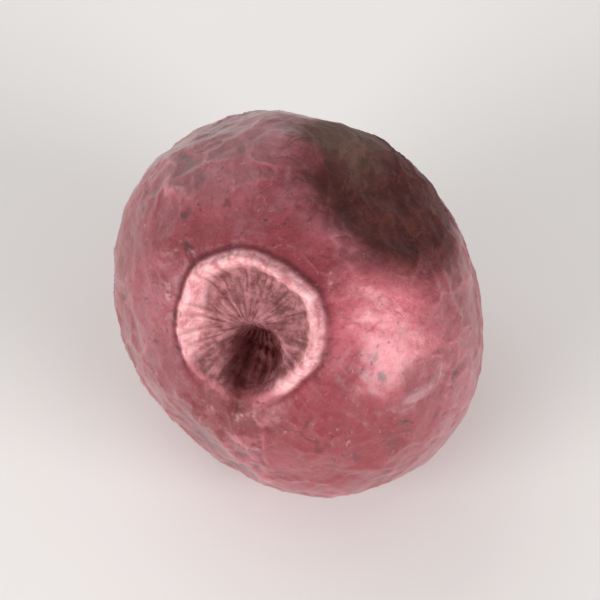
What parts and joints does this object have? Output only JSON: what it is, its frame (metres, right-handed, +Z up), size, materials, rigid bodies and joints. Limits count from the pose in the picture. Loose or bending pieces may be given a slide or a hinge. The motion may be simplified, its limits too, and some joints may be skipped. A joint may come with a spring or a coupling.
{
  "type": "pink peppercorn",
  "caption": "Whole dried pink peppercorn: a small, nearly round berry with a creased papery husk, a ring-shaped stem scar and a small flat that it rests on.",
  "frame": {"origin": "on the surface that the berry rests on, under the middle of its bounding box", "axes": "+Z up; the stem scar faces up and forwards, between +Z and -Y and a little towards -X; +X is to the right seen from the front"},
  "size_m": [0.0054, 0.0056, 0.0051],
  "materials": {
    "husk": "dusky pink to crimson dried husk with a soft satin gloss; matte_plastic stands in for dried plant skin"
  },
  "bodies": {
    "root": {"peppercorn": "husk"}
  },
  "joints": []
}
